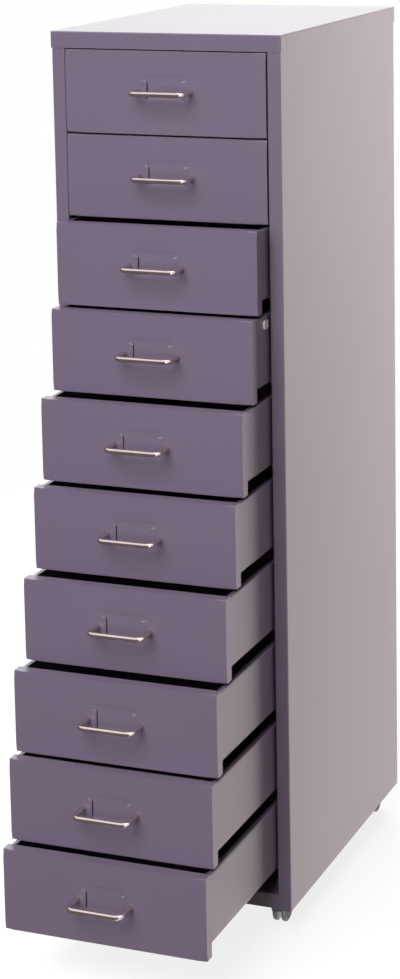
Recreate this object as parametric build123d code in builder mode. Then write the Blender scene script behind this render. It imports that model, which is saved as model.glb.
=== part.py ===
from build123d import *
import os

# Narrow steel cabinet with ten drawers on four twin-wheel castors.
# Millimetres, +Z up, floor at Z = 0, drawers facing -Y, X = 0 in the middle.
# The drawers stand open by different amounts, and Y = 0 is the middle of the whole outline.

os.makedirs("parts", exist_ok=True)

# Carcass
cabinet_width = 280.0        # across the top panel
cabinet_depth = 410.0        # front to back of the top panel
top_height = 19.0            # flange of the top panel
top_overhang = 1.0           # top panel past the side panels, on every side
sheet = 0.8                  # steel sheet of every folded panel
bend_radius = 1.6            # outer radius of every fold
seam_width = 0.4             # slit where two flanges of the top panel meet
seam_from_front = 20.0
seam_from_rear = 16.0
stile_width = 15.8           # front fold of a side panel
stile_return = 8.0           # second fold, back into the cabinet
rear_fold = 15.0             # rear fold of a side panel
floor_clearance = 33.0       # floor to the lower edge of the side panels
plinth_height = 18.0         # front flange of the base pan
plinth_recess = 4.0          # base pan behind the front plane
plinth_gap = 17.9            # base pan to the lowest drawer front
back_fold = 12.0             # folds along the top and bottom of the back panel
back_side_gap = 0.2          # back panel to the inside of each rear fold

# Drawer fronts and trays
pulled_out = (0.0, 0.0, 35.0, 54.0, 87.0, 112.0, 144.0, 175.0, 193.0, 215.0)  # top drawer first
front_height = 94.8
front_gap = 2.2              # between one front and the next
front_flange = 14.0          # depth of the folded pan that is the front
front_side_gap = 1.2         # front to stile
front_top_gap = 1.3          # uppermost front to the top panel's flange
tray_drop = 2.0              # front's upper edge to the tray's
tray_rise = 14.0             # front's lower edge to the tray's
tray_length = 392.0          # front face to the tray's rear
tray_fold = 6.0              # inward fold along the top and bottom of each tray side
weld_gap = 0.05              # between two sheets that are welded flat

# Card holder pressed in each front
card_width = 52.0
card_height = 28.0
card_drop = 27.3             # front's upper edge to the recess
card_recess = 0.4
lip_spacing = 42.0           # between the free edges of the two lips
lip_width = 7.0
lip_height = 22.5
lip_drop = 32.5              # front's upper edge to the lips
lip_lift = 1.4               # free edge of a lip in front of the face
lip_wall = 0.6

# Wire handle
handle_spacing = 64.0
handle_drop = 46.2           # front's upper edge to the wire's axis
handle_reach = 30.5          # face to the outside of the bar
wire_radius = 3.0
wire_bend = 8.0              # on the wire's axis
handle_screw_radius = 2.0
handle_screw_depth = 9.0     # into the wire
handle_screw_head = 4.0      # radius
handle_screw_head_height = 2.4
screw_clearance = 0.1        # radial, in the wire and in the front

# Runners, glides and sliders
runner_height = 16.0
runner_depth = 11.5          # off the side panel
runner_sheet = 1.0
runner_rise = 1.0            # tray's lower edge to the runner's
runner_end_gap = 4.0         # runner to the back panel
glide_from_front = 16.0
glide_length = 12.0
glide_foot = 4.5             # thickness under the tray's edge
glide_under_tray = 5.0       # how far the foot reaches in under the tray
glide_side_gap = 3.0         # tray to the upright of the glide
glide_nose = 1.8             # radius of the foot's tip
glide_clearance = 0.3        # tray over the foot
slider_length = 18.0
slider_clearance = 0.3       # in the runner, on every side
slider_radius = 3.0
padded_drawers = (4,)        # with a guide pad on the right side
pad_length = 12.0
pad_height = 10.0
pad_thickness = 1.6
pad_from_front = 38.0
pad_drop = 7.0               # front's upper edge to the pad

# Castors
wheel_radius = 17.0
wheel_width = 3.8
wheel_shoulder = 1.2         # rounding of the tread
wheel_dish = 0.9             # depth of the ring sunk in the outer face
dish_inner = 5.5
dish_outer = 13.5
castor_web = 6.4             # housing between the two wheels
wheel_side_gap = 0.3
castor_trail = 9.0           # stem axis to wheel axis
castor_from_side = 26.5      # stem axis to the outside of a side panel
castor_from_end = 35.3       # stem axis to the front or rear of the top panel
hood_gap = 1.0               # wheel to hood
hood_wall = 1.0
hub_radius = 5.0             # of the housing round the axle
hood_above_axle = 2.0        # lower edge of the hood over the axle
axle_radius = 1.8
axle_clearance = 0.05        # radial, in each wheel
axle_fit = 0.02              # radial, in the housing
boss_radius = 5.5
neck_radius = 2.0            # of the stem, in the housing
neck_depth = 13.0
neck_clearance = 0.05
collar_radius = 6.5
collar_height = 2.0
collar_gap = 0.3             # collar to housing
thread_radius = 3.0
thread_clearance = 0.2
nut_across_flats = 10.0
nut_height = 5.0

# Places that follow from the sizes
drawer_numbers = range(1, len(pulled_out) + 1)
drawer_pitch = front_height + front_gap
front_plane = (max(pulled_out) + handle_reach - cabinet_depth) / 2
rear_plane = front_plane + cabinet_depth
middle_y = (front_plane + rear_plane) / 2
side_outer = cabinet_width / 2 - top_overhang
side_inner = side_outer - sheet
fold_inside = bend_radius - sheet
side_front = front_plane + top_overhang
side_rear = rear_plane - top_overhang
base_top = floor_clearance + plinth_height
base_front = front_plane + plinth_recess
lowest_front = base_top + plinth_gap
top_bottom = lowest_front + len(pulled_out) * drawer_pitch - front_gap + front_top_gap
cabinet_height = top_bottom + top_height
front_half = side_outer - stile_width - front_side_gap
tray_half = front_half - sheet
runner_inner = side_inner - runner_depth
runner_front = front_plane + glide_from_front + glide_length
runner_back = side_rear - 2 * sheet - runner_end_gap
runner_middle = tray_rise + runner_rise + runner_height / 2
handle_level = front_height - handle_drop


def across(y):
    """Upright plane across the cabinet at one depth; it extrudes towards the front."""
    return Plane.XZ.offset(-y)


def front_bottom(number):
    return lowest_front + (len(pulled_out) - number) * drawer_pitch


def drawer_place(number):
    return Location((0, front_plane - pulled_out[number - 1], front_bottom(number)))


def folded(points, thickness):
    """Section of a folded sheet, with the points on its outer face and the sheet to their left."""
    with BuildLine() as outline:
        FilletPolyline(*points, radius=bend_radius)
        offset(amount=thickness, side=Side.LEFT)
    make_face(outline.edges())


def save(part, name):
    part.label = name
    export_step(part, f"parts/{name}.step")


# Top panel: a shallow tray turned upside down, its side flanges slit near the corners
with BuildPart() as top_panel:
    with BuildSketch(Plane.XY.offset(top_bottom)):
        with Locations((0, middle_y)):
            RectangleRounded(cabinet_width, cabinet_depth, bend_radius)
    extrude(amount=top_height)
    fillet(top_panel.faces().sort_by(Axis.Z)[-1].edges(), radius=bend_radius)
    offset(amount=-sheet, openings=top_panel.faces().sort_by(Axis.Z)[0])
    seam_height = top_height - 2 * bend_radius
    with BuildSketch(Plane.XY.offset(top_bottom)):
        with Locations((0, front_plane + seam_from_front), (0, rear_plane - seam_from_rear)):
            Rectangle(cabinet_width + sheet, seam_width)
    extrude(amount=seam_height, mode=Mode.SUBTRACT)
save(top_panel.part, "top_panel")


# Side panels: one sheet each, folded twice at the front into a stile and once at the rear
stile_inner = side_outer - stile_width
with BuildPart() as right_side_panel:
    with BuildSketch(Plane.XY.offset(floor_clearance)):
        folded([(stile_inner, side_front + stile_return), (stile_inner, side_front),
                (side_outer, side_front), (side_outer, side_rear),
                (side_outer - rear_fold, side_rear)], sheet)
    extrude(amount=cabinet_height - bend_radius - floor_clearance)
    with BuildSketch(Plane.XY.offset(floor_clearance)):
        with Locations((stile_inner, side_front + bend_radius)):
            Rectangle(2 * bend_radius, stile_return, align=(Align.CENTER, Align.MIN))
    extrude(amount=plinth_height + sheet, mode=Mode.SUBTRACT)
save(right_side_panel.part, "right_side_panel")

with BuildPart() as left_side_panel:
    add(right_side_panel.part)
    mirror(about=Plane.YZ, mode=Mode.REPLACE)
save(left_side_panel.part, "left_side_panel")


# Back panel, between the side panels and in front of their rear folds
back_outer = side_rear - sheet
with BuildPart() as back_panel:
    with BuildSketch(Plane.YZ):
        folded([(back_outer - back_fold, base_top), (back_outer, base_top),
                (back_outer, cabinet_height - sheet),
                (back_outer - back_fold, cabinet_height - sheet)], sheet)
    extrude(amount=side_inner - fold_inside - back_side_gap, both=True)
save(back_panel.part, "back_panel")


# Base pan: flanges down all round, the front one showing as a low plinth
castor_x = side_outer - castor_from_side
castor_front = front_plane + castor_from_end
castor_rear = rear_plane - castor_from_end
stem_places = {
    "front_left_castor": (-castor_x, castor_front),
    "front_right_castor": (castor_x, castor_front),
    "rear_left_castor": (-castor_x, castor_rear),
    "rear_right_castor": (castor_x, castor_rear),
}

with BuildPart() as base_pan:
    with BuildSketch(Plane.XY.offset(floor_clearance)):
        with Locations((0, (base_front + back_outer) / 2)):
            RectangleRounded(2 * side_inner, back_outer - base_front, bend_radius)
    extrude(amount=plinth_height)
    fillet(base_pan.faces().sort_by(Axis.Z)[-1].edges(), radius=bend_radius)
    offset(amount=-sheet, openings=base_pan.faces().sort_by(Axis.Z)[0])
    with BuildSketch(Plane.XY.offset(base_top)):
        with Locations(*stem_places.values()):
            Circle(thread_radius + thread_clearance)
    extrude(amount=-2 * sheet, mode=Mode.SUBTRACT)
save(base_pan.part, "base_pan")


# Runners: a channel for each side of each drawer, welded to the side panel
with BuildPart() as runner:
    with BuildSketch(across(runner_back)):
        low = runner_middle - runner_height / 2
        folded([(runner_inner, low), (side_inner, low), (side_inner, low + runner_height),
                (runner_inner, low + runner_height)], runner_sheet)
    extrude(amount=runner_back - runner_front)

with BuildPart() as runners:
    with Locations(*[(0, 0, front_bottom(number)) for number in drawer_numbers]):
        add(runner.part)
    mirror(about=Plane.YZ)
save(runners.part, "runners")


# Front glides: nylon angles at the runners' front ends, their feet under the trays' edges
foot_top = tray_rise - glide_clearance
foot_tip = tray_half - glide_under_tray
glide_upright = tray_half + glide_side_gap
with BuildPart() as front_glide:
    with BuildSketch(across(runner_front)) as glide_section:
        with BuildLine():
            Polyline((foot_tip, foot_top - glide_foot), (side_inner, foot_top - glide_foot),
                     (side_inner, runner_middle + runner_height / 2),
                     (glide_upright, runner_middle + runner_height / 2),
                     (glide_upright, foot_top), (foot_tip, foot_top), close=True)
        make_face()
        fillet(glide_section.vertices().group_by(Axis.X)[0], radius=glide_nose)
    extrude(amount=glide_length)

with BuildPart() as front_glides:
    with Locations(*[(0, 0, front_bottom(number)) for number in drawer_numbers]):
        add(front_glide.part)
    mirror(about=Plane.YZ)
save(front_glides.part, "front_glides")


# Drawer front: a folded pan with a card recess, two lips for the card and the handle's holes.
# Drawer pieces are made with the front's face on Y = 0 and its lower edge on Z = 0.
lip_free = lip_spacing / 2
lip_root = lip_free + lip_width
lip_bottom = front_height - lip_drop - lip_height


def lip_section(inner):
    """Plan of a lip, sprung from the face at its outer edge; inner is its back, or the face."""
    with BuildLine() as outline:
        ThreePointArc((lip_root, sheet / 2), (lip_free + 0.6 * lip_width, -0.75 * lip_lift),
                      (lip_free, -lip_lift))
        if inner:
            Line((lip_free, -lip_lift), (lip_free, -lip_lift + lip_wall))
            ThreePointArc((lip_free, -lip_lift + lip_wall),
                          (lip_free + 0.5 * lip_width, -0.75 * lip_lift + lip_wall),
                          (lip_root - lip_wall, sheet / 2))
            Line((lip_root - lip_wall, sheet / 2), (lip_root, sheet / 2))
        else:
            Polyline((lip_free, -lip_lift), (lip_free, sheet / 2), (lip_root, sheet / 2))
    make_face(outline.edges())


with BuildPart() as drawer_front:
    with BuildSketch(across(front_flange)):
        Rectangle(2 * front_half, front_height, align=(Align.CENTER, Align.MIN))
    extrude(amount=front_flange)
    fillet(drawer_front.faces().sort_by(Axis.Y)[0].edges(), radius=bend_radius)
    offset(amount=-sheet, openings=drawer_front.faces().sort_by(Axis.Y)[-1])
    with BuildSketch(across(card_recess)):
        with Locations((0, front_height - card_drop)):
            Rectangle(card_width, card_height, align=(Align.CENTER, Align.MAX))
    extrude(amount=2 * card_recess, mode=Mode.SUBTRACT)
    with BuildSketch(Plane.XY.offset(lip_bottom)):
        lip_section(True)
        mirror(about=Plane.YZ)
    extrude(amount=lip_height)
    for level in (lip_bottom, lip_bottom + lip_height - lip_wall):
        with BuildSketch(Plane.XY.offset(level)):
            lip_section(False)
            mirror(about=Plane.YZ)
        extrude(amount=lip_wall)
    with BuildSketch(across(2 * sheet)):
        with Locations((-handle_spacing / 2, handle_level), (handle_spacing / 2, handle_level)):
            Circle(handle_screw_radius + screw_clearance)
    extrude(amount=3 * sheet, mode=Mode.SUBTRACT)


# Tray: two sides folded in along top and bottom, a floor welded on the lower folds, a rear wall
tray_top = front_height - tray_drop
floor_bottom = tray_rise + sheet + weld_gap
rear_bottom = floor_bottom + sheet + weld_gap
rear_top = tray_top - sheet - weld_gap
with BuildPart() as drawer_tray:
    with BuildSketch(across(tray_length)):
        folded([(tray_half - tray_fold, tray_rise), (tray_half, tray_rise),
                (tray_half, tray_top), (tray_half - tray_fold, tray_top)], sheet)
        mirror(about=Plane.YZ)
        with Locations((0, floor_bottom)):
            Rectangle(2 * (tray_half - bend_radius), sheet, align=(Align.CENTER, Align.MIN))
    extrude(amount=tray_length - bend_radius)
    with BuildSketch(across(tray_length)):
        with Locations((0, (rear_bottom + rear_top) / 2)):
            RectangleRounded(2 * (tray_half - sheet - weld_gap), rear_top - rear_bottom, bend_radius)
    extrude(amount=sheet)


# Handle: one bent wire held by two screws from inside the front
bar_axis = -(handle_reach - wire_radius)
with BuildPart() as drawer_handle:
    with BuildLine() as wire_path:
        FilletPolyline((-handle_spacing / 2, 0, handle_level),
                       (-handle_spacing / 2, bar_axis, handle_level),
                       (handle_spacing / 2, bar_axis, handle_level),
                       (handle_spacing / 2, 0, handle_level), radius=wire_bend)
    with BuildSketch(across(0)):
        with Locations((-handle_spacing / 2, handle_level)):
            Circle(wire_radius)
    sweep(path=wire_path.line)
    with BuildSketch(across(0)):
        with Locations((-handle_spacing / 2, handle_level), (handle_spacing / 2, handle_level)):
            Circle(handle_screw_radius + screw_clearance)
    extrude(amount=handle_screw_depth + screw_clearance, mode=Mode.SUBTRACT)
    with BuildSketch(across(sheet)):
        with Locations((-handle_spacing / 2, handle_level), (handle_spacing / 2, handle_level)):
            Circle(handle_screw_radius)
    extrude(amount=sheet + handle_screw_depth)
    with BuildSketch(across(sheet + handle_screw_head_height)):
        with Locations((-handle_spacing / 2, handle_level), (handle_spacing / 2, handle_level)):
            Circle(handle_screw_head)
    extrude(amount=handle_screw_head_height)


# Sliders: nylon blocks on the rear of the tray's sides, captive in the runners
slider_outer = side_inner - runner_sheet - slider_clearance
slider_height = runner_height - 2 * (runner_sheet + slider_clearance)
with BuildPart() as drawer_sliders:
    with BuildSketch(Plane.YZ.offset(tray_half)):
        with Locations((tray_length - slider_length / 2, runner_middle)):
            RectangleRounded(slider_length, slider_height, slider_radius)
    extrude(amount=slider_outer - tray_half)
    mirror(about=Plane.YZ)

with BuildPart() as padded_sliders:
    add(drawer_sliders.part)
    with BuildSketch(Plane.YZ.offset(tray_half)):
        with Locations((pad_from_front + pad_length / 2, front_height - pad_drop - pad_height / 2)):
            RectangleRounded(pad_length, pad_height, slider_radius)
    extrude(amount=pad_thickness)

for number in drawer_numbers:
    sliders = padded_sliders if number in padded_drawers else drawer_sliders
    pieces = {"front": drawer_front, "tray": drawer_tray, "handle": drawer_handle,
              "sliders": sliders}
    for piece_name, piece in pieces.items():
        with BuildPart() as placed:
            with Locations(drawer_place(number)):
                add(piece.part)
        save(placed.part, f"drawer_{number:02d}_{piece_name}")


# Castor pieces are made with the stem's axis on Z, and the wheels trail towards +Y
housing_top = base_top - sheet - collar_height - collar_gap
wheel_inner = castor_web / 2 + wheel_side_gap
castor_half = wheel_inner + wheel_width
hood_inner = wheel_radius + hood_gap
hood_outer = hood_inner + hood_wall

with BuildPart() as housing:
    with BuildSketch(Plane.YZ):
        with Locations((castor_trail, wheel_radius)):
            Circle(hood_outer)
        with Locations((castor_trail, wheel_radius + hood_above_axle)):
            Rectangle(2 * hood_outer, 2 * hood_outer, align=(Align.CENTER, Align.MAX),
                      mode=Mode.SUBTRACT)
    extrude(amount=castor_half, both=True)
    with BuildSketch(Plane.XY.offset(wheel_radius + hood_above_axle)):
        Circle(boss_radius)
    extrude(amount=housing_top - wheel_radius - hood_above_axle)
    for side_plane in (Plane.YZ.offset(castor_web / 2), Plane.YZ.offset(-castor_half - sheet)):
        with BuildSketch(side_plane):
            with Locations((castor_trail, wheel_radius)):
                Circle(hood_inner)
        extrude(amount=castor_half - castor_web / 2 + sheet, mode=Mode.SUBTRACT)
    with BuildSketch(Plane.YZ):
        with Locations((castor_trail, wheel_radius)):
            Circle(hub_radius)
    extrude(amount=castor_web / 2, both=True)
    with BuildSketch(Plane.YZ):
        with Locations((castor_trail, wheel_radius)):
            Circle(axle_radius + axle_fit)
    extrude(amount=castor_half, both=True, mode=Mode.SUBTRACT)
    with BuildSketch(Plane.XY.offset(housing_top)):
        Circle(neck_radius + neck_clearance)
    extrude(amount=-neck_depth, mode=Mode.SUBTRACT)

with BuildPart() as axle:
    with BuildSketch(Plane.YZ):
        with Locations((castor_trail, wheel_radius)):
            Circle(axle_radius)
    extrude(amount=castor_half - wheel_dish, both=True)

with BuildPart() as wheels:
    with BuildSketch(Plane.XY.offset(wheel_radius)) as wheel_section:
        with Locations((wheel_inner, castor_trail + axle_radius + axle_clearance)):
            Rectangle(wheel_width, wheel_radius - axle_radius - axle_clearance, align=Align.MIN)
        fillet(wheel_section.vertices().group_by(Axis.Y)[-1], radius=wheel_shoulder)
        with Locations((castor_half - wheel_dish, castor_trail + dish_inner)):
            Rectangle(2 * wheel_dish, dish_outer - dish_inner, align=Align.MIN,
                      mode=Mode.SUBTRACT)
    revolve(axis=Axis((0, castor_trail, wheel_radius), (1, 0, 0)))
    mirror(about=Plane.YZ)

for castor_name, stem_place in stem_places.items():
    for piece_name, piece in {"housing": housing, "axle": axle, "wheels": wheels}.items():
        with BuildPart() as placed:
            with Locations(stem_place):
                add(piece.part)
        save(placed.part, f"{castor_name}_{piece_name}")


# Castor stems: neck in the housing, collar under the base pan, thread and nut above it
with BuildPart() as castor_stem:
    with BuildSketch(Plane.XY.offset(housing_top - neck_depth + collar_gap)):
        Circle(neck_radius)
    extrude(amount=neck_depth)
    with BuildSketch(Plane.XY.offset(housing_top + collar_gap)):
        Circle(collar_radius)
    extrude(amount=collar_height)
    with BuildSketch(Plane.XY.offset(base_top - sheet)):
        Circle(thread_radius)
    extrude(amount=sheet + nut_height + collar_height)
    with BuildSketch(Plane.XY.offset(base_top)):
        RegularPolygon(nut_across_flats / 2, 6, major_radius=False)
    extrude(amount=nut_height)

with BuildPart() as castor_stems:
    with Locations(*stem_places.values()):
        add(castor_stem.part)
save(castor_stems.part, "castor_stems")
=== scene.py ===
import math

import bmesh
import bpy
from mathutils import Matrix, Vector


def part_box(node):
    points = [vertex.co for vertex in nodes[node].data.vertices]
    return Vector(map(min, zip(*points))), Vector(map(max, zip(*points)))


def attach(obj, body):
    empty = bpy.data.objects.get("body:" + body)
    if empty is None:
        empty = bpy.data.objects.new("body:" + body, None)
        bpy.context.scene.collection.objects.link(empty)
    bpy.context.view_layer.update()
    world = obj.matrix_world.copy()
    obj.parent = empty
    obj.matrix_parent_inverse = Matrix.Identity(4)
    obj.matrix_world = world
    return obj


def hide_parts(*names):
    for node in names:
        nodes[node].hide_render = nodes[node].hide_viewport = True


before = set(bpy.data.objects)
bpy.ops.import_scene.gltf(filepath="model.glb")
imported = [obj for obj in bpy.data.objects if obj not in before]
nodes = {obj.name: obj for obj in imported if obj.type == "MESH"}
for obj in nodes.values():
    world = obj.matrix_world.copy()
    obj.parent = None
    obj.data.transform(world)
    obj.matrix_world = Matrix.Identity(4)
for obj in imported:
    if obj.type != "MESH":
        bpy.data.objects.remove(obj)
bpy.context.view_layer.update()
print("cabinet loaded:", len(nodes), "nodes")

drawerNames = [f"drawer_{number:02d}" for number in range(1, 11)]
castorNames = [f"{place}_castor" for place in ("front_left", "front_right", "rear_left", "rear_right")]


# Shader sums: a signal is a socket that takes part in ordinary arithmetic
class Signal:
    def __init__(self, recipe, socket):
        self.recipe, self.socket = recipe, socket

    def sum(self, operation, first, second):
        return self.recipe.node("ShaderNodeMath", {"operation": operation}, {0: first, 1: second})

    def __add__(self, other):
        return self.sum("ADD", self, other)

    def __radd__(self, other):
        return self.sum("ADD", other, self)

    def __sub__(self, other):
        return self.sum("SUBTRACT", self, other)

    def __rsub__(self, other):
        return self.sum("SUBTRACT", other, self)

    def __mul__(self, other):
        return self.sum("MULTIPLY", self, other)

    def __rmul__(self, other):
        return self.sum("MULTIPLY", other, self)


class Recipe:
    def __init__(self, name, tree=None):
        if tree is None:
            self.material = bpy.data.materials.new(name)
            self.material.use_nodes = True
            tree = self.material.node_tree
        self.tree = tree
        self.tree.nodes.clear()

    def node(self, kind, settings=None, inputs=None, output=0):
        made = self.tree.nodes.new(kind)
        for name, value in (settings or {}).items():
            setattr(made, name, value)
        for name, value in (inputs or {}).items():
            if isinstance(value, Signal):
                self.tree.links.new(value.socket, made.inputs[name])
            else:
                made.inputs[name].default_value = value
        return Signal(self, made.outputs[output]) if made.outputs else None

    def place(self, stretch=(1.0, 1.0, 1.0)):
        where = self.node("ShaderNodeTexCoord", output=3)
        return self.node("ShaderNodeMapping", None, {"Vector": where, "Scale": stretch})

    def noise(self, where, scale, detail=2.0, rough=0.5):
        return self.node("ShaderNodeTexNoise", None, {"Vector": where, "Scale": scale, "Detail": detail,
                                                      "Roughness": rough})

    def mix(self, amount, first, second):
        return self.node("ShaderNodeMix", {"data_type": "RGBA"}, {0: amount, 6: first, 7: second}, 2)

    def bump(self, height, strength, distance):
        return self.node("ShaderNodeBump", None, {"Height": height, "Strength": strength,
                                                  "Distance": distance})

    def finish(self, shader, world=False):
        kind = "ShaderNodeOutputWorld" if world else "ShaderNodeOutputMaterial"
        self.node(kind, None, {"Surface": shader})
        return getattr(self, "material", None)


def shade(red, green, blue):
    # a colour as a paint chart gives it, 0 to 255, for a shader
    return (*[(part / 255 / 12.92) if part < 11 else ((part / 255 + 0.055) / 1.055) ** 2.4
              for part in (red, green, blue)], 1.0)


# Powder coat: satin violet grey with a fine orange peel under a clear gloss
powderCoat = {
    "dark": (107, 93, 114), "light": (113, 99, 120), "cloudScale": 5.0, "speckScale": 340.0, "speckShare": 0.3,
    "roughness": 0.38, "roughnessSpread": 0.08, "gloss": 0.85, "glossRoughness": 0.32, "glossIor": 1.62,
    "peelScale": 620.0, "peelStrength": 0.35, "peelDepth": 0.00005,
}


def paintedSteel(name, finish):
    recipe = Recipe(name)
    where = recipe.place()
    cloud = recipe.noise(where, finish["cloudScale"], 4.0, 0.6)
    speck = recipe.noise(where, finish["speckScale"], 3.0, 0.6)
    peel = recipe.noise(where, finish["peelScale"], 2.0, 0.45)
    blend = cloud * (1 - finish["speckShare"]) + speck * finish["speckShare"]
    smoothest = finish["roughness"] - finish["roughnessSpread"] / 2
    return recipe.finish(recipe.node("ShaderNodeBsdfPrincipled", None, {
        "Base Color": recipe.mix(blend, shade(*finish["dark"]), shade(*finish["light"])),
        "Roughness": smoothest + cloud * finish["roughnessSpread"],
        "Coat Weight": finish["gloss"],
        "Coat Roughness": finish["glossRoughness"],
        "Coat IOR": finish["glossIor"],
        "Normal": recipe.bump(peel, finish["peelStrength"], finish["peelDepth"]),
    }))


# Handle wire: bright plate with a warm cast and fine drawing lines
brightPlate = {
    "base": (220, 204, 201), "deep": (204, 187, 184), "toneScale": 60.0,
    "roughness": 0.11, "lineRoughness": 0.07, "lineScale": 900.0, "lineStretch": 0.06, "lineDepth": 0.00002,
}


def platedWire(name, finish):
    recipe = Recipe(name)
    lines = recipe.noise(recipe.place((finish["lineStretch"], 1.0, 1.0)), finish["lineScale"], 3.0, 0.6)
    tone = recipe.noise(recipe.place(), finish["toneScale"], 2.0)
    return recipe.finish(recipe.node("ShaderNodeBsdfPrincipled", None, {
        "Base Color": recipe.mix(tone, shade(*finish["deep"]), shade(*finish["base"])),
        "Metallic": 1.0,
        "Roughness": finish["roughness"] + lines * finish["lineRoughness"],
        "Normal": recipe.bump(lines, 0.12, finish["lineDepth"]),
    }))


# Zinc: pale grey with a faint spangle
zincPlate = {
    "base": (186, 189, 194), "deep": (158, 161, 168), "spangle": 260.0,
    "roughness": 0.34, "grainRoughness": 0.14, "grainScale": 700.0, "grainDepth": 0.00003,
}


def zincSteel(name, finish):
    recipe = Recipe(name)
    where = recipe.place()
    spangle = recipe.node("ShaderNodeTexVoronoi", None, {"Vector": where, "Scale": finish["spangle"]}, 1)
    grey = recipe.node("ShaderNodeSeparateColor", None, {"Color": spangle})
    grain = recipe.noise(where, finish["grainScale"], 3.0)
    return recipe.finish(recipe.node("ShaderNodeBsdfPrincipled", None, {
        "Base Color": recipe.mix(grey, shade(*finish["deep"]), shade(*finish["base"])),
        "Metallic": 1.0,
        "Roughness": finish["roughness"] + grain * finish["grainRoughness"],
        "Normal": recipe.bump(grain, 0.15, finish["grainDepth"]),
    }))


# Moulded nylon and castor plastic: one recipe, four finishes
mouldedSurface = {"flowScale": 90.0, "textureScale": 1500.0, "textureRoughness": 0.1, "textureDepth": 0.00004}
nylonFinish = {"base": (206, 203, 196), "deep": (192, 188, 180), "roughness": 0.46, "gloss": 0.0}
# a paler, whiter copy of the slider nylon, used on drawer 4's sliders alone
drawerFourSliderFinish = {"base": (238, 237, 233), "deep": (228, 227, 222), "roughness": 0.42, "gloss": 0.1}
castorFinish = {"base": (186, 184, 185), "deep": (168, 165, 167), "roughness": 0.34, "gloss": 0.4}
hoodFinish = {"base": (146, 143, 146), "deep": (130, 127, 131), "roughness": 0.3, "gloss": 0.4}


def mouldedPlastic(name, finish):
    recipe = Recipe(name)
    where = recipe.place()
    flow = recipe.noise(where, mouldedSurface["flowScale"], 3.0, 0.55)
    texture = recipe.noise(where, mouldedSurface["textureScale"], 2.0)
    return recipe.finish(recipe.node("ShaderNodeBsdfPrincipled", None, {
        "Base Color": recipe.mix(flow, shade(*finish["deep"]), shade(*finish["base"])),
        "Roughness": finish["roughness"] + texture * mouldedSurface["textureRoughness"],
        "Coat Weight": finish["gloss"],
        "Coat Roughness": 0.2,
        "Normal": recipe.bump(texture, 0.2, mouldedSurface["textureDepth"]),
    }))


paint = paintedSteel("violetPowderCoat", powderCoat)
wirePlate = platedWire("warmBrightPlate", brightPlate)
zinc = zincSteel("zincPlate", zincPlate)
nylon = mouldedPlastic("slidingNylon", nylonFinish)
drawerFourSliderNylon = mouldedPlastic("drawerFourPaleNylon", drawerFourSliderFinish)
castorGrey = mouldedPlastic("castorGrey", castorFinish)
hoodGrey = mouldedPlastic("hoodGrey", hoodFinish)


def dress(node, material):
    holder = nodes[node]
    if not holder.material_slots:
        holder.data.materials.append(material)
    for slot in holder.material_slots:
        slot.material = material


for node in ("top_panel", "left_side_panel", "right_side_panel", "back_panel", "base_pan"):
    dress(node, paint)
for node in ("runners", "castor_stems"):
    dress(node, zinc)
dress("front_glides", nylon)
for drawer in drawerNames:
    dress(f"{drawer}_tray", paint)
    # drawer 4's sliders alone take the paler, whiter copy of the slider nylon
    dress(f"{drawer}_sliders", drawerFourSliderNylon if drawer == "drawer_04" else nylon)
for castor in castorNames:
    dress(f"{castor}_housing", hoodGrey)
    dress(f"{castor}_axle", zinc)
print("materials made")


def ownPiece(name, mesh, materials):
    piece = bpy.data.objects.new(name, mesh)
    bpy.context.scene.collection.objects.link(piece)
    mesh.materials.clear()
    for material in materials:
        mesh.materials.append(material)
    return piece


def evaluatedMesh(maker):
    # the plain mesh that an object's modifiers give
    bpy.context.view_layer.update()
    graph = bpy.context.evaluated_depsgraph_get()
    return bpy.data.meshes.new_from_object(maker.evaluated_get(graph))


def dropObject(maker):
    bpy.data.objects.remove(maker)


# Drawer front: one pressed sheet, made once with its face on Y = 0 and its lower edge on Z = 0
pressedFront = {
    "width": 0.244, "height": 0.0948, "flange": 0.014, "sheet": 0.0008, "bend": 0.0016,
    "cardWidth": 0.052, "cardHeight": 0.028, "cardDrop": 0.0273, "cardDepth": 0.0004, "cardSlope": 0.0022,
    "lipFree": 0.021, "lipRoot": 0.028, "lipDrop": 0.0325, "lipHeight": 0.0225, "lipLift": 0.0014,
    "lipTopEnd": 0.0034, "lipLowEnd": 0.0018, "lipSheet": 0.0005, "lipSunk": 0.0001, "lipOverlap": 0.0003,
    "lipColumns": 12, "lipRow": 0.0004, "slitStart": 0.0203, "slitEnd": 0.0234,
    "gridStep": 0.011, "slopeSteps": 4, "bendSteps": 4, "sharpAngle": 38.0,
}


def soft(value):
    value = min(max(value, 0.0), 1.0)
    return value * value * (3 - 2 * value)


def gridLines(marks, low, high, step):
    # places from low to high that hold every mark, with none much over a step apart
    marks = sorted({low, high, *marks})
    lines = []
    for first, second in zip(marks, marks[1:]):
        count = max(1, math.ceil((second - first) / step))
        lines += [first + (second - first) * part / count for part in range(count)]
    return lines + [high]


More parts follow.
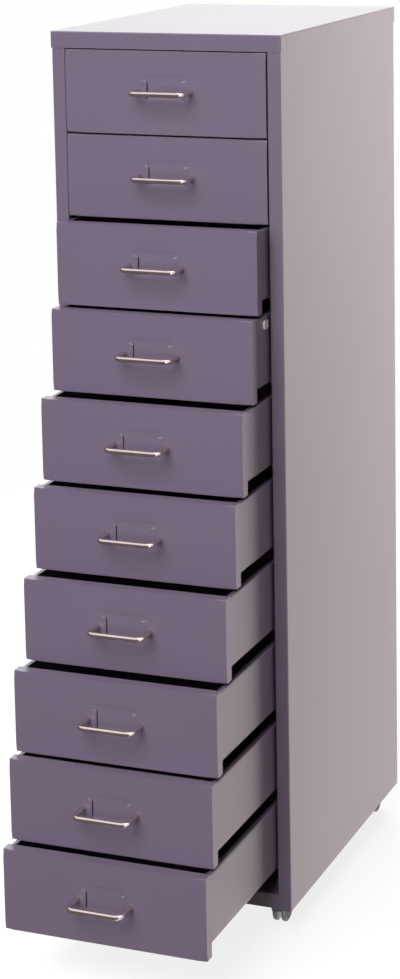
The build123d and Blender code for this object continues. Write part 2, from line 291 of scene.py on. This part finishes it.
def pressedFrontMesh(size):
    half, height, bend = size["width"] / 2, size["height"], size["bend"]
    cardTop = height - size["cardDrop"]
    cardBottom = cardTop - size["cardHeight"]
    cardHalf, slope = size["cardWidth"] / 2, size["cardSlope"]
    lipTop = height - size["lipDrop"]
    lipBottom = lipTop - size["lipHeight"]

    def recess(x, z):
        across = soft((cardHalf - abs(x)) / slope)
        above = soft((cardTop - z) / slope)
        below = soft((z - cardBottom) / slope)
        return size["cardDepth"] * across * above * below

    steps = [slope * step / size["slopeSteps"] for step in range(size["slopeSteps"] + 1)]
    xMarks = [sign * place for sign in (-1, 1) for place in
              (*(cardHalf - step for step in steps), size["slitStart"], size["slitEnd"], size["lipRoot"])]
    zMarks = [*(cardTop - step for step in steps), *(cardBottom + step for step in steps),
              lipTop - size["lipTopEnd"], lipBottom + size["lipLowEnd"]]
    xs = gridLines(xMarks, -half, half, size["gridStep"])
    zs = gridLines(zMarks, 0.0, height, size["gridStep"])
    shape = bmesh.new()
    rows = [[shape.verts.new((x, recess(x, z), z)) for x in xs] for z in zs]
    for low, high in zip(range(len(zs) - 1), range(1, len(zs))):
        for left, right in zip(range(len(xs) - 1), range(1, len(xs))):
            middleX, middleZ = abs(xs[left] + xs[right]) / 2, (zs[low] + zs[high]) / 2
            inSlit = (size["slitStart"] < middleX < size["slitEnd"]
                      and lipBottom + size["lipLowEnd"] < middleZ < lipTop - size["lipTopEnd"])
            if not inSlit:
                shape.faces.new((rows[low][left], rows[low][right], rows[high][right], rows[high][left]))

    def onRim(edge):
        return all(abs(abs(vertex.co.x) - half) < 1e-7 for vertex in edge.verts) or \
            all(abs(vertex.co.z - height) < 1e-7 for vertex in edge.verts) or \
            all(abs(vertex.co.z) < 1e-7 for vertex in edge.verts)

    rim = [edge for edge in shape.edges if edge.is_boundary and onRim(edge)]
    flange = bmesh.ops.extrude_edge_only(shape, edges=rim)["geom"]
    for vertex in [part for part in flange if isinstance(part, bmesh.types.BMVert)]:
        vertex.co.y = size["flange"]
    bmesh.ops.bevel(shape, geom=rim, offset=bend, segments=size["bendSteps"], profile=0.5,
                    affect="EDGES", clamp_overlap=False)
    bmesh.ops.recalc_face_normals(shape, faces=shape.faces)
    if sum(face.normal.y * face.calc_area() for face in shape.faces) > 0:
        bmesh.ops.reverse_faces(shape, faces=shape.faces)
    mesh = bpy.data.meshes.new("pressedSheet")
    shape.to_mesh(mesh)
    shape.free()
    return mesh


def lipMesh(size):
    # a half louvre: it springs from the face at its outer edge, and its free edge curves out to the ends
    lipTop = size["height"] - size["lipDrop"]
    lipBottom = lipTop - size["lipHeight"]
    root = size["lipRoot"] + size["lipOverlap"]
    across, columns = root - size["lipFree"], size["lipColumns"]
    ends = [lipBottom + size["lipLowEnd"], lipTop - size["lipTopEnd"]]
    shape = bmesh.new()
    for sign in (-1, 1):
        rows = []
        for z in gridLines(ends, lipBottom, lipTop, size["lipRow"]):
            inward = min((z - lipBottom) / size["lipLowEnd"], (lipTop - z) / size["lipTopEnd"], 1.0)
            reach = 0.04 + 0.96 * math.sqrt(max(0.0, 1 - (1 - inward) ** 2))  # never quite a point
            row = []
            for column in range(columns + 1):
                turn = column / columns * reach
                lift = size["lipLift"] * soft(turn * 1.5) * soft(inward * 1.15)
                row.append(shape.verts.new((sign * (root - across * turn), size["lipSunk"] - lift, z)))
            rows.append(row)
        for low, high in zip(rows, rows[1:]):
            for left, right in zip(range(columns), range(1, columns + 1)):
                corners = (low[left], low[right], high[right], high[left])
                shape.faces.new(corners if sign < 0 else corners[::-1])
    bmesh.ops.recalc_face_normals(shape, faces=shape.faces)
    for face in shape.faces:
        if face.normal.y > 0:
            face.normal_flip()
    mesh = bpy.data.meshes.new("lips")
    shape.to_mesh(mesh)
    shape.free()
    return mesh


def thickened(mesh, thickness):
    # the sheet's own thickness, on the side away from the face
    maker = ownPiece("sheetMaker", mesh, [paint])
    wall = maker.modifiers.new("wall", "SOLIDIFY")
    wall.thickness, wall.offset, wall.use_even_offset = thickness, -1.0, True
    result = evaluatedMesh(maker)
    dropObject(maker)
    return result


frontParts = bmesh.new()
frontParts.from_mesh(thickened(pressedFrontMesh(pressedFront), pressedFront["sheet"]))
frontParts.from_mesh(thickened(lipMesh(pressedFront), pressedFront["lipSheet"]))
frontMesh = bpy.data.meshes.new("pressedFront")
frontParts.to_mesh(frontMesh)
frontParts.free()
for face in frontMesh.polygons:
    face.use_smooth = True
frontMesh.set_sharp_from_angle(angle=math.radians(pressedFront["sharpAngle"]))
for drawer in drawerNames:
    low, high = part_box(f"{drawer}_front")
    mesh = frontMesh.copy()
    mesh.transform(Matrix.Translation((0.0, high.y - pressedFront["flange"], low.z)))
    front = ownPiece(f"{drawer}_pressed_front", mesh, [paint])
    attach(front, drawer)
    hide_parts(f"{drawer}_front")
print("ten fronts pressed,", len(frontMesh.polygons), "faces each")


# Node trees for what is bent or set out in rows
class NodeTree:
    def __init__(self, name, sizes):
        self.tree = bpy.data.node_groups.new(name, "GeometryNodeTree")
        self.tree.interface.new_socket("Geometry", in_out="OUTPUT", socket_type="NodeSocketGeometry")
        self.names = {}
        for size, value in sizes.items():
            kind = "NodeSocketInt" if isinstance(value, int) else "NodeSocketFloat"
            socket = self.tree.interface.new_socket(size, in_out="INPUT", socket_type=kind)
            socket.default_value = value
            self.names[size] = socket.identifier
        self.given = self.tree.nodes.new("NodeGroupInput")

    def node(self, kind, settings=None, inputs=None):
        made = self.tree.nodes.new(kind)
        for name, value in (settings or {}).items():
            setattr(made, name, value)
        for name, value in (inputs or {}).items():
            if isinstance(value, bpy.types.NodeSocket):
                self.tree.links.new(value, made.inputs[name])
            elif isinstance(value, bpy.types.Node):
                self.tree.links.new(value.outputs[0], made.inputs[name])
            else:
                made.inputs[name].default_value = value
        return made

    def size(self, name):
        return self.given.outputs[name]

    def sum(self, operation, first, second, third=0.0):
        return self.node("ShaderNodeMath", {"operation": operation}, {0: first, 1: second, 2: third})

    def point(self, x, y, z):
        return self.node("ShaderNodeCombineXYZ", None, {0: x, 1: y, 2: z})

    def close(self, geometry, material):
        plain = self.node("GeometryNodeRealizeInstances", None, {0: geometry})
        coated = self.node("GeometryNodeSetMaterial", None, {0: plain, "Material": material})
        self.node("NodeGroupOutput", None, {0: coated})

    def build(self, values):
        maker = ownPiece("treeMaker", bpy.data.meshes.new("treeMaker"), [])
        step = maker.modifiers.new("tree", "NODES")
        step.node_group = self.tree
        for name, value in values.items():
            step[self.names[name]] = value
        result = evaluatedMesh(maker)
        dropObject(maker)
        return result


# Handle: one wire bent twice, its ends on the face
wireHandle = {"spacing": 0.064, "reach": 0.0275, "bend": 0.008, "radius": 0.003, "bendSteps": 12, "round": 28}


def handleTree():
    tree = NodeTree("bentWire", wireHandle)
    half = tree.sum("MULTIPLY", tree.size("spacing"), 0.5)
    line = tree.node("GeometryNodeCurvePrimitiveLine", None,
                     {"Start": (0.0, 0.0, 0.0), "End": (1.0, 0.0, 0.0)})
    corners = tree.node("GeometryNodeResampleCurve", None, {"Curve": line, "Count": 4})
    index = tree.node("GeometryNodeInputIndex")
    onRight = tree.sum("GREATER_THAN", index, 1.5)
    x = tree.sum("MULTIPLY", half, tree.sum("MULTIPLY_ADD", onRight, 2.0, -1.0))
    fromEnds = tree.sum("ABSOLUTE", tree.sum("SUBTRACT", index, 1.5), 0.0)
    onBar = tree.sum("LESS_THAN", fromEnds, 1.0)
    y = tree.sum("MULTIPLY", onBar, tree.sum("MULTIPLY", tree.size("reach"), -1.0))
    bent = tree.node("GeometryNodeSetPosition", None, {"Geometry": corners, "Position": tree.point(x, y, 0.0)})
    rounded = tree.node("GeometryNodeFilletCurve", {"mode": "POLY"},
                        {"Curve": bent, "Radius": tree.size("bend"), "Count": tree.size("bendSteps")})
    ring = tree.node("GeometryNodeCurvePrimitiveCircle", None,
                     {"Resolution": tree.size("round"), "Radius": tree.size("radius")})
    wire = tree.node("GeometryNodeCurveToMesh", None,
                     {"Curve": rounded, "Profile Curve": ring, "Fill Caps": True})
    smooth = tree.node("GeometryNodeSetShadeSmooth", None, {0: wire})
    tree.close(smooth, wirePlate)
    return tree


# Handle screw: a pan head inside the drawer, its dome as shares of radius and height
handleScrew = {
    "headRadius": 0.004, "headHeight": 0.0024, "turns": 24,
    "dome": ((1.0, 0.0), (1.0, 0.35), (0.93, 0.66), (0.78, 0.86), (0.55, 0.97), (0.3, 1.0)),
}


def panHead(size):
    shape = bmesh.new()
    turns = size["turns"]
    circle = [(math.cos(2 * math.pi * turn / turns), math.sin(2 * math.pi * turn / turns))
              for turn in range(turns)]
    rings = []
    for share, level in size["dome"]:
        radius = size["headRadius"] * share
        rings.append([shape.verts.new((radius * c, size["headHeight"] * level, radius * s))
                      for c, s in circle])
    for low, high in zip(rings, rings[1:]):
        for turn in range(turns):
            after = (turn + 1) % turns
            shape.faces.new((low[turn], low[after], high[after], high[turn]))
    shape.faces.new(rings[0][::-1])
    shape.faces.new(rings[-1])
    bmesh.ops.recalc_face_normals(shape, faces=shape.faces)
    head = bpy.data.meshes.new("panHead")
    shape.to_mesh(head)
    shape.free()
    for face in head.polygons:
        face.use_smooth = True
    head.set_sharp_from_angle(angle=math.radians(50))
    return head


handleWire = handleTree().build(wireHandle)
screwHead = panHead(handleScrew)
for drawer in drawerNames:
    low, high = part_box(f"{drawer}_handle")
    faceY = low.y + wireHandle["reach"] + wireHandle["radius"]
    level = low.z + (high.z - low.z) / 2
    shape = bmesh.new()
    shape.from_mesh(handleWire)
    for face in shape.faces:
        face.material_index = 0
    for side in (-1, 1):
        head = screwHead.copy()
        head.transform(Matrix.Translation((side * wireHandle["spacing"] / 2, pressedFront["sheet"], 0.0)))
        before = len(shape.faces)
        shape.from_mesh(head)
        shape.faces.ensure_lookup_table()
        for face in shape.faces[before:]:
            face.material_index = 1
    bmesh.ops.translate(shape, verts=shape.verts, vec=(0.0, faceY, level))
    mesh = bpy.data.meshes.new(f"{drawer}_wire")
    shape.to_mesh(mesh)
    shape.free()
    handle = ownPiece(f"{drawer}_wire_handle", mesh, [wirePlate, zinc])
    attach(handle, drawer)
    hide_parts(f"{drawer}_handle")
print("handles bent,", len(handleWire.polygons), "faces each")


# Castor wheels: two turned rims on each axle, made once round the X axis
castorWheel = {
    "radius": 0.017, "width": 0.0038, "inner": 0.0035, "bore": 0.00185, "hub": 0.0046,
    "dish": 0.0009, "rimInner": 0.0135, "rimSlope": 0.0004, "hubSlope": 0.0008, "round": 0.0012, "turns": 72,
    "ribs": 8, "ribHalf": 0.0005, "ribSunk": 0.0002, "ribLow": 0.00025, "hubLow": 0.0001,
}


def wheelMesh(size):
    outer, width, dish, edge = size["radius"], size["width"], size["dish"], size["round"]
    arc = [(math.cos(turn * math.pi / 8), math.sin(turn * math.pi / 8)) for turn in range(5)]
    inFace = [(outer - edge + edge * s, edge - edge * c) for c, s in arc]
    outFace = [(outer - edge + edge * c, width - edge + edge * s) for c, s in arc]
    section = [(size["bore"], 0.0), (size["hub"], 0.0), *inFace, *outFace,
               (size["rimInner"] + size["rimSlope"], width), (size["rimInner"], width - dish),
               (size["hub"] + size["hubSlope"], width - dish), (size["hub"], width - size["hubLow"]),
               (size["bore"], width - size["hubLow"])]
    turns = size["turns"]
    shape = bmesh.new()
    for side in (-1, 1):
        rings = []
        for turn in range(turns):
            angle = 2 * math.pi * turn / turns
            rings.append([shape.verts.new((side * (size["inner"] + x), radius * math.cos(angle),
                                           radius * math.sin(angle))) for radius, x in section])
        for turn in range(turns):
            first, second = rings[turn], rings[(turn + 1) % turns]
            for part in range(len(section)):
                after = (part + 1) % len(section)
                shape.faces.new((first[part], first[after], second[after], second[part]))
        for rib in range(size["ribs"]):
            angle = 2 * math.pi * rib / size["ribs"]
            along = Vector((0.0, math.cos(angle), math.sin(angle)))
            sideways = Vector((0.0, -math.sin(angle), math.cos(angle))) * size["ribHalf"]
            outside = size["inner"] + width
            base, top = side * (outside - dish - size["ribSunk"]), side * (outside - size["ribLow"])
            corners = []
            for x in (base, top):
                for distance in (size["hub"] + size["ribSunk"], size["rimInner"] + size["ribSunk"]):
                    for offset in (-1, 1):
                        spot = along * distance + sideways * offset
                        corners.append(shape.verts.new((x, spot.y, spot.z)))
            for quad in ((0, 1, 3, 2), (4, 6, 7, 5), (0, 4, 5, 1), (2, 3, 7, 6), (0, 2, 6, 4), (1, 5, 7, 3)):
                shape.faces.new([corners[corner] for corner in quad])
    bmesh.ops.recalc_face_normals(shape, faces=shape.faces)
    mesh = bpy.data.meshes.new("wheelPair")
    shape.to_mesh(mesh)
    shape.free()
    for face in mesh.polygons:
        face.use_smooth = True
    mesh.set_sharp_from_angle(angle=math.radians(40))
    return mesh


wheelPair = wheelMesh(castorWheel)
for castor in castorNames:
    low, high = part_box(f"{castor}_wheels")
    mesh = wheelPair.copy()
    mesh.transform(Matrix.Translation((low + high) / 2))
    wheels = ownPiece(f"{castor}_turned_wheels", mesh, [castorGrey])
    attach(wheels, f"{castor}_wheels")
    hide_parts(f"{castor}_wheels")
print("castor wheels turned,", len(wheelPair.polygons), "faces a pair")


# Back rivets: two rows that hold the rear folds of the side panels to the back panel
backRivets = {"count": 9, "pitch": 0.112, "fromSide": 0.0085, "headRadius": 0.0028, "headHeight": 0.0009}


def rivetTree():
    tree = NodeTree("rivetRow", backRivets)
    head = tree.node("GeometryNodeMeshUVSphere", None,
                     {"Segments": 16, "Rings": 10, "Radius": tree.size("headRadius")})
    flatness = tree.sum("DIVIDE", tree.size("headHeight"), tree.size("headRadius"))
    flat = tree.node("GeometryNodeTransform", None,
                     {"Geometry": head, "Scale": tree.point(1.0, flatness, 1.0)})
    smooth = tree.node("GeometryNodeSetShadeSmooth", None, {0: flat})
    row = tree.node("GeometryNodeMeshLine", {"mode": "OFFSET"},
                    {"Count": tree.size("count"), "Offset": tree.point(0.0, 0.0, tree.size("pitch"))})
    points = tree.node("GeometryNodeInstanceOnPoints", None, {"Points": row, "Instance": smooth})
    tree.close(points, zinc)
    return tree


rivetRow = rivetTree().build(backRivets)
backLow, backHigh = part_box("back_panel")
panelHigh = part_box("right_side_panel")[1]
lowestRivet = (backLow.z + backHigh.z) / 2 - (backRivets["count"] - 1) / 2 * backRivets["pitch"]
shape = bmesh.new()
for side in (-1, 1):
    row = rivetRow.copy()
    row.transform(Matrix.Translation((side * (panelHigh.x - backRivets["fromSide"]), panelHigh.y, lowestRivet)))
    shape.from_mesh(row)
mesh = bpy.data.meshes.new("backRivets")
shape.to_mesh(mesh)
shape.free()
rivets = ownPiece("back_rivets", mesh, [zinc])
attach(rivets, "carcass")
print("rivets set")


# Floor, light and camera: the backdrop, what reflections see of the room, and the lamps
studio = {
    "floorSize": 16.0, "floorLevel": -0.0004, "floorTone": 0.26, "floorGlow": 0.82,
    "litRadius": 0.9, "paleRadius": 1.9,
    "around": 0.12, "backdrop": 1.0, "frontRoom": 0.18, "warmth": (1.0, 0.885, 0.9, 1.0),
    "backTurn": 0.15, "backFrom": 0.79, "backTo": 0.99, "backGlow": 4.1,
    "lowFrom": -0.35, "lowTo": 0.02, "lowShare": 0.66, "topFrom": 0.0, "topTo": 0.12, "topShare": 0.285,
    "skyFrom": 0.3, "skyTo": 0.6, "skyGlow": 1.25, "sideFrom": 0.62, "sideTo": 0.92, "sideGlow": 1.0,
}
lamps = {
    "topFront": {"place": (-0.15, -2.9, 2.9), "target": (0.0, -0.1, 0.65), "size": (2.4, 1.9), "power": 132.0,
                 "lights": True, "mirrored": False},
    "frontLow": {"place": (-0.2, -3.0, 0.9), "target": (0.0, -0.1, 0.3), "size": (1.8, 1.2), "power": 23.0,
                 "lights": True, "mirrored": False},
    "keyRight": {"place": (2.4, -1.9, 1.2), "target": (0.1, 0.0, 0.6), "size": (0.45, 0.45), "power": 11.0,
                 "lights": False, "mirrored": True},
    "backFill": {"place": (-1.5, 3.0, 1.5), "target": (0.0, 0.0, 0.55), "size": (2.0, 1.6), "power": 60.0,
                 "lights": True, "mirrored": False},
    "topBack": {"place": (-0.6, 2.0, 3.0), "target": (0.0, 0.1, 0.9), "size": (1.8, 1.8), "power": 34.0,
                "lights": True, "mirrored": False},
}
cameraView = {
    "place": (1.067267, -2.562566, 1.290223), "yaw": 0.375652, "pitch": 0.162307, "roll": -0.015726,
    "lens": 88.828, "shiftX": -0.04086, "shiftY": -0.27937,
}


def ramp(recipe, value, low, high):
    # 0 below low, 1 above high
    return recipe.node("ShaderNodeMapRange", {"interpolation_type": "SMOOTHSTEP"}, {
        "Value": value, "From Min": low, "From Max": high, "To Min": 0.0, "To Max": 1.0})


def ray(recipe, *kinds):
    # 1 for the kinds of ray that are named
    path = recipe.node("ShaderNodeLightPath").socket.node
    first, *others = [Signal(recipe, path.outputs[f"Is {kind} Ray"]) for kind in kinds]
    return sum(others, first)


def studioFloor(size):
    recipe = Recipe("paleFloor")
    seen = ray(recipe, "Camera")
    where = recipe.node("ShaderNodeTexCoord", output=3)
    away = recipe.node("ShaderNodeVectorMath", {"operation": "LENGTH"}, {0: where}, 1)
    near = 1 - ramp(recipe, away, size["litRadius"], size["paleRadius"])
    matt = recipe.node("ShaderNodeBsdfDiffuse", None, {"Color": near * size["floorTone"]})
    glow = recipe.node("ShaderNodeEmission", None, {
        "Color": (1.0, 1.0, 1.0, 1.0),
        "Strength": seen * (size["backdrop"] - near * (size["backdrop"] - size["floorGlow"]))})
    material = recipe.finish(recipe.node("ShaderNodeAddShader", None, {0: matt, 1: glow}))
    half, level = size["floorSize"] / 2, size["floorLevel"]
    mesh = bpy.data.meshes.new("floor")
    mesh.from_pydata([(x * half, y * half, level) for x, y in ((-1, -1), (1, -1), (1, 1), (-1, 1))],
                     [], [(0, 1, 2, 3)])
    floor = ownPiece("floor", mesh, [material])
    floor.visible_glossy = False  # reflections see the studio world instead


def studioWorld(size):
    world = bpy.data.worlds.new("studio")
    world.use_nodes = True
    bpy.context.scene.world = world
    recipe = Recipe("studio", world.node_tree)
    seen = ray(recipe, "Camera")
    mirrored = ray(recipe, "Glossy", "Transmission")
    direction = recipe.node("ShaderNodeTexCoord")
    z = recipe.node("ShaderNodeSeparateXYZ", None, {0: direction}, 2)
    level = recipe.node("ShaderNodeVectorMath", {"operation": "NORMALIZE"}, {
        0: recipe.node("ShaderNodeVectorMath", {"operation": "MULTIPLY"}, {0: direction, 1: (1.0, 1.0, 0.0)})})
    turned = recipe.node("ShaderNodeVectorMath", {"operation": "DOT_PRODUCT"}, {
        0: level, 1: (-math.sin(size["backTurn"]), math.cos(size["backTurn"]), 0.0)}, 1)
    back = ramp(recipe, turned, size["backFrom"], size["backTo"])  # the pale room behind
    rise = size["lowShare"] + (1 - size["lowShare"]) * ramp(recipe, z, size["lowFrom"], size["lowTo"])
    high = ramp(recipe, z, size["topFrom"], size["topTo"])
    fall = 1 - (1 - size["topShare"]) * high
    sky = ramp(recipe, z, size["skyFrom"], size["skyTo"])
    sideways = recipe.node("ShaderNodeSeparateXYZ", None, {0: level})
    beside = ramp(recipe, sideways, size["sideFrom"], size["sideTo"])
    around, room = size["around"], size["frontRoom"]
    recipe.finish(recipe.node("ShaderNodeBackground", None, {
        "Color": recipe.mix(mirrored * (1 - high), (1.0, 1.0, 1.0, 1.0), size["warmth"]),
        "Strength": around + seen * (size["backdrop"] - around)
        + mirrored * (room - around + back * rise * fall * (size["backGlow"] - room)
                      + beside * (size["sideGlow"] - room) + sky * (size["skyGlow"] - room))}), world=True)


def aimed(holder, place, target):
    holder.location = place
    holder.rotation_euler = (Vector(target) - Vector(place)).to_track_quat("-Z", "Y").to_euler()


def studioLamps(rows):
    for name, row in rows.items():
        lamp = bpy.data.lights.new(name, "AREA")
        lamp.shape, lamp.energy = "RECTANGLE", row["power"]
        lamp.size, lamp.size_y = row["size"]
        holder = bpy.data.objects.new(name, lamp)
        bpy.context.scene.collection.objects.link(holder)
        holder.visible_camera, holder.visible_diffuse = False, row["lights"]
        holder.visible_glossy = row["mirrored"]
        aimed(holder, row["place"], row["target"])


def viewCamera(row):
    lens = bpy.data.cameras.new("photographView")
    lens.lens, lens.sensor_width = row["lens"], 36.0
    lens.shift_x, lens.shift_y = row["shiftX"], row["shiftY"]
    lens.clip_start, lens.clip_end = 0.05, 60.0
    holder = bpy.data.objects.new("photographView", lens)
    bpy.context.scene.collection.objects.link(holder)
    ahead = Vector((-math.sin(row["yaw"]) * math.cos(row["pitch"]),
                    math.cos(row["yaw"]) * math.cos(row["pitch"]), -math.sin(row["pitch"])))
    right = Vector((math.cos(row["yaw"]), math.sin(row["yaw"]), 0.0))
    above = right.cross(ahead)
    turnedRight = right * math.cos(row["roll"]) + above * math.sin(row["roll"])
    turnedUp = above * math.cos(row["roll"]) - right * math.sin(row["roll"])
    columns = Matrix((turnedRight, turnedUp, -ahead)).transposed().to_4x4()
    holder.matrix_world = Matrix.Translation(row["place"]) @ columns
    bpy.context.scene.camera = holder


studioFloor(studio)
studioWorld(studio)
studioLamps(lamps)
viewCamera(cameraView)
bpy.context.scene.view_settings.view_transform = "Standard"
print("studio ready")
